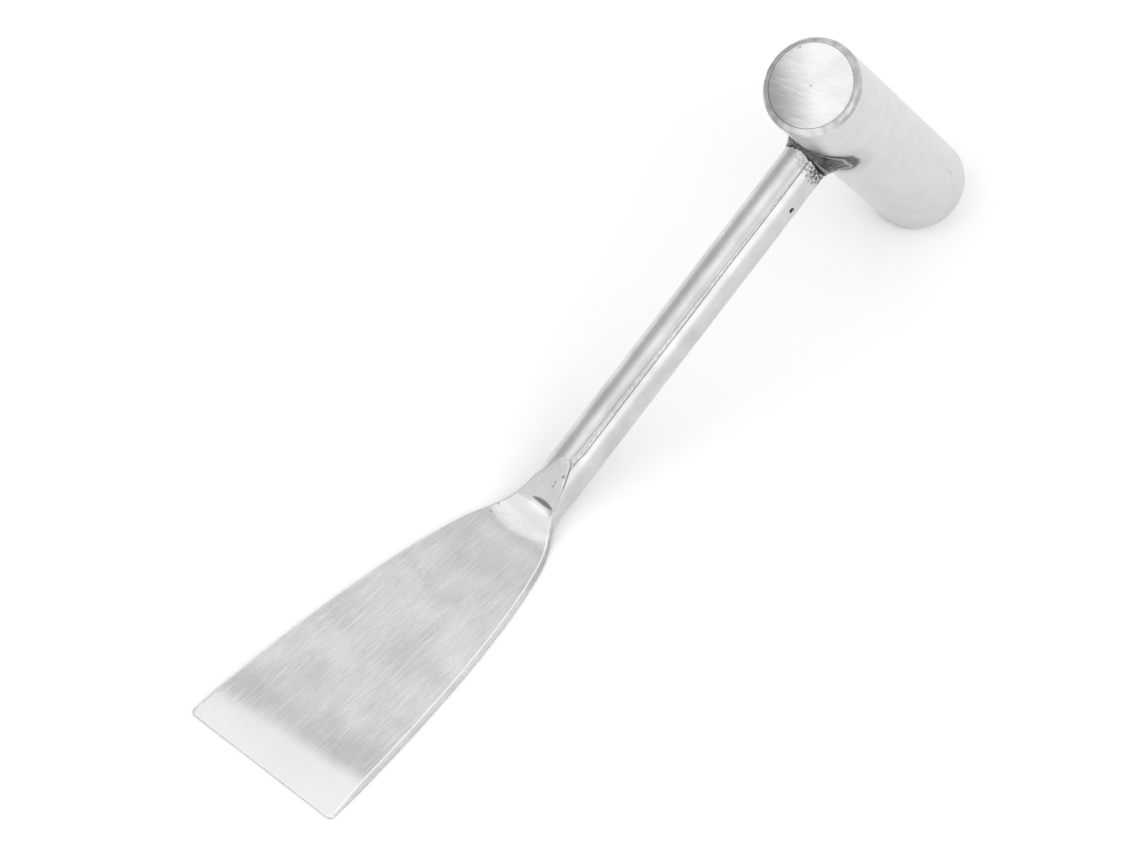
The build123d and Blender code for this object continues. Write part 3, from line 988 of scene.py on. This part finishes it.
# ---------- blade
@dataclass
class ScraperBlade:
    """Sheet blade: a tang laid flush into the handle, a bend, curved sides, a ground edge."""

    axes: ToolAxes
    line: SheetLine
    tip: float = -24.2
    blunt: float = 2.4
    outline_past: Row = (-22, -16, -8.7, -4.2, -1.5, 3, 8, 18, 32, 52, 86, 119, 140)
    outline_half: Row = (
        3.3, 6.1, 8.7, 11.7, 13.6, 16.1, 18.2, 21.2, 24.4, 27.8, 31.7, 34.0, 34.8,
    )
    side_bevel: float = 1.3
    edge_thickness: float = 1.0
    grind_start: float = 124.0
    grind_slant: float = 3.0
    edge_slant: float = 0.85
    corner: float = 2.0
    crescent_past: float = -8.7
    crescent_across: float = -2.4
    crescent_depth: float = 0.75
    specks: tuple[tuple[float, float], ...] = (
        (-19.0, -3.4), (-18.7, -2.9), (-16.2, -2.0), (-14.8, -2.2), (3.1, 12.6), (-1.0, 12.4),
    )

    def rows(self) -> Array:
        """Stations along the blade, closer set at the tip, the crescent and both ends."""
        nose = self.tip + self.blunt * (1 - np.cos(np.linspace(0.12, pi / 2, 14)))
        runs = (
            nose, np.arange(nose[-1] + 0.4, -12, 0.4), np.arange(-12, -4, 0.16),
            np.arange(-4, 7, 0.25), np.arange(7, 116, 0.9), np.arange(116, 137.6, 0.45),
            np.arange(137.6, 139.6, 0.14),
            139.65 + 0.35 * np.sin(np.linspace(0, pi / 2, 7)),
        )
        return np.concatenate(runs)

    def half(self, u: Array) -> Array:
        """Half width at u: a smooth line, rounded off at the tang's tip and the corners."""
        knots = np.array(self.outline_past, float)
        width = hermite(np.clip(u, knots[0], knots[-1]), knots, np.array(self.outline_half))
        nose = np.clip((self.tip + self.blunt - u) / self.blunt, 0, 1)
        end = np.clip(u - (self.line.reach - self.corner), 0, self.corner)
        return width * np.sqrt(1 - nose**2) - (self.corner - np.sqrt(self.corner**2 - end**2))

    def tube_top(self, run: Array, b: Array) -> Array:
        """Height of the round handle's upper side at a level distance from the head."""
        a = -np.sqrt(np.clip(self.line.handle_radius**2 - b**2, 1.0, None))
        rise = self.line.rise
        h = (run + a * sin(rise)) / cos(rise)
        return self.axes.cross[2] - h * sin(rise) - a * cos(rise)

    def build(self) -> Piece:
        """Blade: loops round the sheet at each station.

        Formula: the top follows the bent line, comes down to the tube where it would
        stand proud of it, drops along the bevels and the ground edge, and is pressed in
        at the crescent. The back is the same line one sheet lower.

        Returns:
            The blade.
        """
        u = self.rows()[:, None]
        w = self.half(u)
        brim = np.array([0, 0.05, 0.22, 0.45, 0.7, 0.95, 1.12, 1.22, 1.32, 1.5, 1.9, 2.5])
        squeeze = np.minimum(1, w / 7)
        inside = np.linspace(-1, 1, 104)[1:-1]
        left = w - brim * squeeze
        top_v = np.hstack([-left, (w - 2.5 * squeeze) * inside, left[:, ::-1]])
        back_v = (w - 0.15 * squeeze) * np.linspace(1, -1, 44)
        v = np.hstack([top_v, w, w, back_v, -w, -w])
        n_top = top_v.shape[1]
        u = np.broadcast_to(u, v.shape)
        centre = np.minimum(u, 0) * tan(self.line.yaw) * fall(u, -3, 0)
        centre = centre - 0.8 * fall(u, -23, -14)
        sideways = v / self.outline_half[-1]
        slant = climb(u, 95, 140) * self.edge_slant * (sideways - 1)
        x = self.line.bend - u - slant
        y = v + centre
        offset = np.stack([x - self.axes.cross[0], y - self.axes.cross[1], 0 * x], -1)
        run, b = offset @ self.line.heading, offset @ self.axes.across
        q = run - self.line.bend_run
        edge = np.clip(w - np.abs(v), 0, None)
        top = self.line.upper(q)
        flush = self.tube_top(run, b) + 0.03 + 2.2 * climb(u, -17.5, -11)
        top = np.where(u < -9, np.minimum(top, flush), top)
        grind_from = self.grind_start + self.grind_slant * sideways
        taper = np.clip((u - grind_from) / (self.line.reach - grind_from), 0, 1)
        thin = (self.line.sheet - self.edge_thickness) * taper**1.15
        thickness = self.line.sheet - thin
        bevel_width = self.side_bevel * climb(u, -13, -4) * (1 - 0.45 * taper)
        bevel_depth = np.minimum(bevel_width, 0.55 * thickness)
        slope = np.clip(1 - edge / np.maximum(bevel_width, 1e-6), 0, 1) * (bevel_width > 1e-3)
        broken = 0.05 * np.exp(-edge / 0.08)
        du, dv = u - self.crescent_past, v - self.crescent_across
        bow = du - 0.2 * (dv / 5.6) ** 2 + 0.3
        span = np.clip(1 - (dv / 5.7) ** 2, 0, 1) ** 0.7
        lens = span * bell(bow, np.where(bow < 0, 0.9, 1.8))
        relief = 0.035 * (1 + waves(u, v, 81, 12, 95, 24)) * climb(u, -6, 12)
        relief = relief + 0.006 * (1 + waves(u, v * 3, 82, 16, 30, 6))
        top = top - thin - slope * bevel_depth - broken - self.crescent_depth * lens
        top = top - np.clip(relief, 0, 0.2)
        low = self.line.lower(q)
        end = np.clip((u - 139.65) / 0.36, 0, 1)
        round_off = 1 - np.sqrt(1 - end**2)
        middle = (top + low) / 2
        z = low.copy()
        z[:, :n_top] = top[:, :n_top]
        upper_side, lower_side = [n_top, -1], [n_top + 1, -2]
        z[:, upper_side] = (0.6 * top + 0.4 * low)[:, upper_side]
        z[:, lower_side] += 0.15
        z = z + (middle - z) * round_off * 0.8
        grid = np.stack([x, y, z], -1) * MM
        piece = surface("scraper_blade_sheet", grid, Ends.CAPPED, None, 32.0)
        is_top = np.zeros_like(v)
        is_top[:, :n_top] = 1
        face = is_top * (edge > bevel_width)
        blur = 0.35 * waves(u * 0.25, v, 83, 20, 26, 2.5)
        linished = climb(u + blur, grind_from - 4.5, grind_from + 3.5)
        mark(piece, "linished", (0.74 - 0.2 * sideways) * face * linished)
        # Darker in a soft band before the grind, round 22 mm past the bend, and just past the
        # bend's arc.
        before = bell(u + blur - grind_from + 9, 7.5)
        arc = 3.6 - 0.02 * (v - 2.5) ** 2
        outside = climb(u, arc - 0.3, arc + 2.2) * fall(u, 4, 11)
        mark(piece, "dull", face * (0.3 * before + 0.2 * bell(u - 22, 14) + 0.35 * outside))
        # Painted highlight: a pale band over the bend, where the curved sheet catches the light,
        # fading round its middle.
        bright = fall(u, arc - 1.5, arc + 1.5) * climb(bow, 0.7, 1.9)
        mark(piece, "neck_painted_highlight", 0.9 * face * bright * (1 - 0.9 * bell(u - 0.2, 3.2)))
        # Painted highlight: a white line along the inner edge of the bevel on one side, from the
        # bend on.
        arris_painted_highlight = bell(edge - bevel_width - 0.12, 0.2) * is_top * (v < 0)
        mark(piece, "arris_painted_highlight", arris_painted_highlight * climb(u, -8, 0))
        # Painted shade: the crescent dimple is darkened over its inner side.
        inner = climb(bow + 1.25 * span, 0.0, 0.4) * climb(0.5 * span - bow, 0.0, 0.5)
        mark(piece, "crescent_painted_shade", face * climb(span, 0.1, 0.3) * inner)
        strip = is_top * (edge < bevel_width * 0.97) + (1 - is_top)
        mark(piece, "strip", strip * climb(u, -12, -6) * (0.05 + 0.5 * fall(u, 6, 26)))
        # Painted shadow: a dark line along the tang's top edge where it lies over the tube,
        # strongest on one side near its tip. The specks are real dark dots on the tang.
        rim = bell(edge, 0.38) * is_top * fall(u, -16, -9)
        line = rim * (0.2 + 0.95 * (v < 0) * fall(u, -18, -14))
        specks = sum(bell(np.hypot(u - su, v - sv), sqrt(0.1)) for su, sv in self.specks)
        mark(piece, "gap_shadow_and_specks", line + 0.8 * specks * is_top)
        return piece

    def dress(self) -> None:
        """Give the blade its finish and put it on the body in place of its CAD node."""
        # 2.5 mm 304 sheet, brushed along its length with 180 grit and handled: long fine
        # lines, stray scratches and soft cloudy stains. Over them lie a painted highlight on
        # the bend and along one bevel edge, painted shade in the crescent, a painted shadow
        # along the tang's edge, and darker bands.
        brushed = Steel(
            "long_brushed_stainless_sheet", "#bbbbbb", "#e8e8e8", 0.31, 0.05, cloud=22.0,
            lay_pitch=0.4, lay_run=7.0, lay_depth=0.006, lay_contrast=0.62, scratches=0.5,
            grain=0.45,
        ).build(
            ("dull", "#a4a4a4", 0.36), ("linished", "#ebebeb", 0.27),
            ("neck_painted_highlight", "#ededed", 0.27), ("strip", "#969696", 0.34),
            ("arris_painted_highlight", "#ffffff", 0.2), ("crescent_painted_shade", "#868686", 0.42), ("gap_shadow_and_specks", "#3c3c3c", 0.5),
        )
        settle(self.build(), brushed, "blade_steel", "blade")


# ---------- studio
@dataclass(frozen=True)
class Studio:
    """White floor, a white dome with one soft darker patch, and two soft lamps."""

    eye: Triple = (-0.70669188, -0.63515801, 1.36515937)
    eye_turn: Triple = (35.13225601, 0.37706498, -47.74670278)
    lens: float = 138.592
    floor_half: float = 6.0
    floor_level: float = -0.0003
    floor_glow: float = 0.06
    shade_towards: Triple = (-0.2, 0.9, 0.38)
    shade_rim: float = 44.0
    shade_core: float = 20.0
    shade_light: float = 0.6
    lamps: tuple[tuple[str, Triple, float, float], ...] = (
        ("key_softbox", (-0.35, -1.5, 1.25), 1.6, 4.2),
        ("top_softbox", (-0.66, 0.88, 1.68), 1.3, 1.9),
    )

    def build_floor(self) -> None:
        """Pale floor just under the object, white where nothing shades it."""
        mesh = bpy.data.meshes.new("studio_floor")
        signs = ((-1, -1), (1, -1), (1, 1), (-1, 1))
        corners = [(i * self.floor_half, j * self.floor_half, self.floor_level) for i, j in signs]
        mesh.from_pydata(corners, [], [(0, 1, 2, 3)])
        floor = add_object("studio_floor", mesh)
        material = bpy.data.materials.new("white_paper_floor")
        tree = empty_tree(material)
        paper = add_node(tree, "BsdfDiffuse", {"Color": linear("#fbfbfb"), "Roughness": 1.0})
        # For the eye and in mirrors the paper glows a little, so that it ends nearly white.
        path = add_node(tree, "LightPath").outputs
        seen = add_node(
            tree, "Math", {0: path["Is Camera Ray"], 1: path["Is Glossy Ray"]}, operation="MAXIMUM"
        ).outputs[0]
        amount = add_node(
            tree, "Math", {0: seen, 1: self.floor_glow}, operation="MULTIPLY"
        ).outputs[0]
        glow = add_node(tree, "Emission", {"Strength": amount})
        both = add_node(tree, "AddShader", {0: paper.outputs[0], 1: glow.outputs[0]})
        add_node(tree, "OutputMaterial", {"Surface": both.outputs[0]})
        mesh.materials.append(material)
        floor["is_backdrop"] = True

    def build_dome(self) -> None:
        """World: white for the eye, and for the light a white dome with one shaded side.

        Formula: how far a direction lies from the middle of the shaded side, as the cosine
        between them, is mapped to a grey.
        """
        world = bpy.data.worlds.new("studio_dome")
        bpy.context.scene.world = world
        tree = empty_tree(world)
        direction = add_node(tree, "TexCoord").outputs["Generated"]
        middle = np.array(self.shade_towards) / np.linalg.norm(self.shade_towards)
        near = add_node(
            tree, "VectorMath", {0: direction, 1: tuple(middle)}, operation="DOT_PRODUCT"
        ).outputs["Value"]
        rim, core = (cos(radians(v)) for v in (self.shade_rim, self.shade_core))
        shade = add_node(
            tree, "MapRange", {"Value": near, "From Min": rim, "From Max": core},
            interpolation_type="SMOOTHSTEP",
        ).outputs[0]
        white = linear("#ffffff")
        dome = add_node(
            tree, "Mix", {0: shade, 6: white, 7: (*[self.shade_light] * 3, 1.0)}, data_type="RGBA"
        ).outputs[2]
        seen = add_node(tree, "LightPath").outputs["Is Camera Ray"]
        colour = add_node(tree, "Mix", {0: seen, 6: dome, 7: white}, data_type="RGBA").outputs[2]
        background = add_node(tree, "Background", {"Color": colour, "Strength": 1.0})
        add_node(tree, "OutputWorld", {"Surface": background.outputs[0]})

    def build_lamp(self, name: str, place: Triple, size: float, watts: float) -> None:
        """Square soft lamp that faces the object's middle.

        Args:
            name: the lamp's name.
            place: where it stands, in metres.
            size: side of the square in metres.
            watts: its power.
        """
        data = bpy.data.lights.new(name, "AREA")
        data.shape, data.size, data.energy = "SQUARE", size, watts
        lamp = add_object(name, data)
        lamp.location = place
        x, y, z = np.array([0.0, 0.0, 0.05]) - np.array(place)
        lamp.rotation_euler = (atan2(hypot(x, y), -z), 0.0, atan2(-x, y))

    def build_camera(self) -> None:
        """Camera that looks down on the tool from the side of the blade's edge."""
        data = bpy.data.cameras.new("eye")
        data.lens, data.sensor_width, data.sensor_fit = self.lens, 36.0, "HORIZONTAL"
        data.clip_start, data.clip_end = 0.01, 50.0
        camera = add_object("eye", data)
        camera.location = self.eye
        camera.rotation_euler = tuple(radians(v) for v in self.eye_turn)
        bpy.context.scene.camera = camera

    def build(self) -> None:
        """Set up floor, dome, lamps, camera and the view transform."""
        self.build_floor()
        self.build_dome()
        for lamp in self.lamps:
            self.build_lamp(*lamp)
        self.build_camera()
        bpy.context.scene.view_settings.view_transform = "Standard"


def main() -> None:
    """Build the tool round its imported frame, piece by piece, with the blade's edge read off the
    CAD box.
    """
    logging.basicConfig(level=logging.INFO, format="%(name)s: %(message)s")
    cad_box = [[float(v) for v in corner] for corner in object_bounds()]
    Studio().build()
    axes = ToolAxes.from_record(frame["record"])
    line = SheetLine(axes, edge_x=cad_box[0][0] / MM)
    MalletHead(axes).dress()
    TubeHandle(axes, line).dress()
    # TIG bead left as it froze, browned by its own heat: dark, glossy and wrinkled.
    # Over it: painted shade in the ripples' creases and at both edges, and a painted
    # highlight on the raised lines and a contour on the flanks.
    bead = Steel(
        "oxidised_tig_bead", "#2c2c2c", "#666666", 0.22, 0.06, cloud=3.4,
        lay_pitch=0.5, lay_run=1.2, lay_depth=0.02, lay_contrast=0.3, grain=0.3,
    ).build(("ripple", "#1c1c1c", 0.4), ("raised_line_and_highlight", "#b4b4b4", 0.2))
    settle(HandleWeld(axes).build(), bead, "weld_bead", "handle_weld")
    settle(HeelWeld(axes, line).build(), bead, "weld_bead", "heel_weld")
    ScraperBlade(axes, line).dress()


if __name__ == "__main__":
    main()
